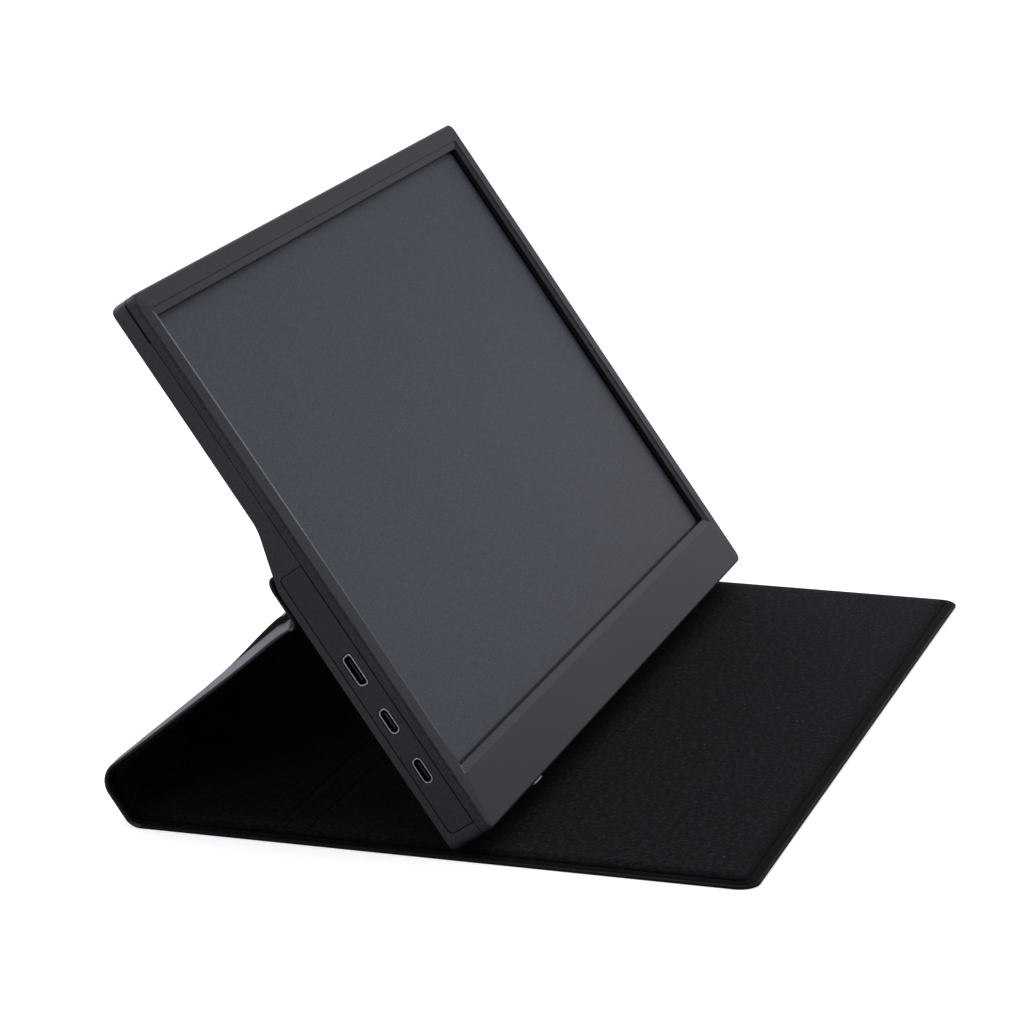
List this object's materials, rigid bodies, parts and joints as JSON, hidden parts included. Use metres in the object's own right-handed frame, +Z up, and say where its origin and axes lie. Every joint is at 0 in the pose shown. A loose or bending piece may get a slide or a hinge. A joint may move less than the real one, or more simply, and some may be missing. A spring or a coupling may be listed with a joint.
{
  "type": "portable monitor with folio cover",
  "caption": "Thin portable monitor held at a working angle by a folding leather-look folio cover that acts as its stand.",
  "frame": {"origin": "on the table, in the middle of the whole object's footprint", "axes": "+X to the viewer's right along the monitor's width, +Y from the viewer to the back, +Z up"},
  "size_m": [0.37, 0.247, 0.2002],
  "materials": {
    "cover_leather": "fine-grained matt imitation leather",
    "stiffener": "raw grey board",
    "lining": "short napped microfibre",
    "flap_steel": "plain sheet",
    "frame_plastic": "fine spark-eroded texture",
    "shell_plastic": "fine spark-eroded texture",
    "key_plastic": "satin",
    "foam": "matt foam",
    "screen": "matt anti-glare",
    "light_plastic": "clear acrylic",
    "led": "phosphor on a strip",
    "tray_metal": "plain sheet",
    "circuit_board": "solder mask",
    "flex": "polyimide film",
    "ribbon": "ribbon cable",
    "chip_black": "moulded epoxy",
    "socket_metal": "nickel plated",
    "screw_black": "black zinc",
    "screw_steel": "zinc plated",
    "magnet": "nickel plated"
  },
  "bodies": {
    "base": {"base_leather": "cover_leather", "base_board": "stiffener", "base_lining": "lining"},
    "spine": {"spine_leather": "cover_leather", "spine_board": "stiffener", "spine_lining": "lining"},
    "rear_panel": {"rear_leather": "cover_leather", "rear_board": "stiffener", "rear_lining": "lining"},
    "monitor": {"flap_leather": "cover_leather", "flap_steel": "flap_steel", "flap_lining": "lining", "front_frame": "frame_plastic", "rear_shell": "shell_plastic", "port_plate": "shell_plastic", "key_plate": "shell_plastic", "bezel_foam": "foam", "lcd_cell": "screen", "light_guide": "light_plastic", "led_strip": "led", "panel_tray": "tray_metal", "driver_board": "circuit_board", "driver_flex": "flex", "display_cable": "ribbon", "main_board": "circuit_board", "board_chips": "chip_black", "shield_can": "socket_metal", "hdmi_socket": "socket_metal", "usb_c_socket_upper": "socket_metal", "usb_c_socket_lower": "socket_metal", "contact_tongues": "chip_black", "speaker_left": "chip_black", "speaker_right": "chip_black", "key_board": "circuit_board", "key_switches": "chip_black", "headphone_socket": "chip_black", "key_cable": "ribbon", "light_board": "circuit_board", "light_pipe": "light_plastic", "case_screws": "screw_black", "board_screws": "screw_steel", "shell_magnets": "magnet"},
    "power_button": {"power_button": "key_plastic"},
    "menu_rocker": {"menu_rocker": "key_plastic"}
  },
  "joints": [
    {"name": "spine_fold", "type": "hinge", "parent": "base", "child": "spine", "pos_m": [0, 0.10922, 0.0015], "axis": [1, 0, 0], "range_deg": [-3.1, 3.7]},
    {"name": "rear_fold", "type": "hinge", "parent": "spine", "child": "rear_panel", "pos_m": [0, 0.11922, 0.02309], "axis": [-1, 0, 0], "range_deg": [-20, 24]},
    {"name": "flap_fold", "type": "hinge", "parent": "rear_panel", "child": "monitor", "pos_m": [0, 0.04862, 0.08073], "axis": [1, 0, 0], "range_deg": [-37.5, 44.94]},
    {"name": "power_button_press", "type": "slide", "parent": "monitor", "child": "power_button", "axis": [-1, 0, 0], "range_m": [0, 0.0004], "stiffness_N_per_m": 1500, "springref_m": -0.0003},
    {"name": "menu_rocker_tilt", "type": "hinge", "parent": "monitor", "child": "menu_rocker", "pos_m": [0.1803, 0.02124, 0.06277], "axis": [0, -0.8161, 0.5779], "range_deg": [-3, 3], "stiffness_Nm_per_rad": 0.03}
  ],
  "couplings": [
    {"joint": "spine_fold", "follows": "rear_fold", "ratio": 0.15},
    {"joint": "flap_fold", "follows": "rear_fold", "ratio": 1.86}
  ]
}
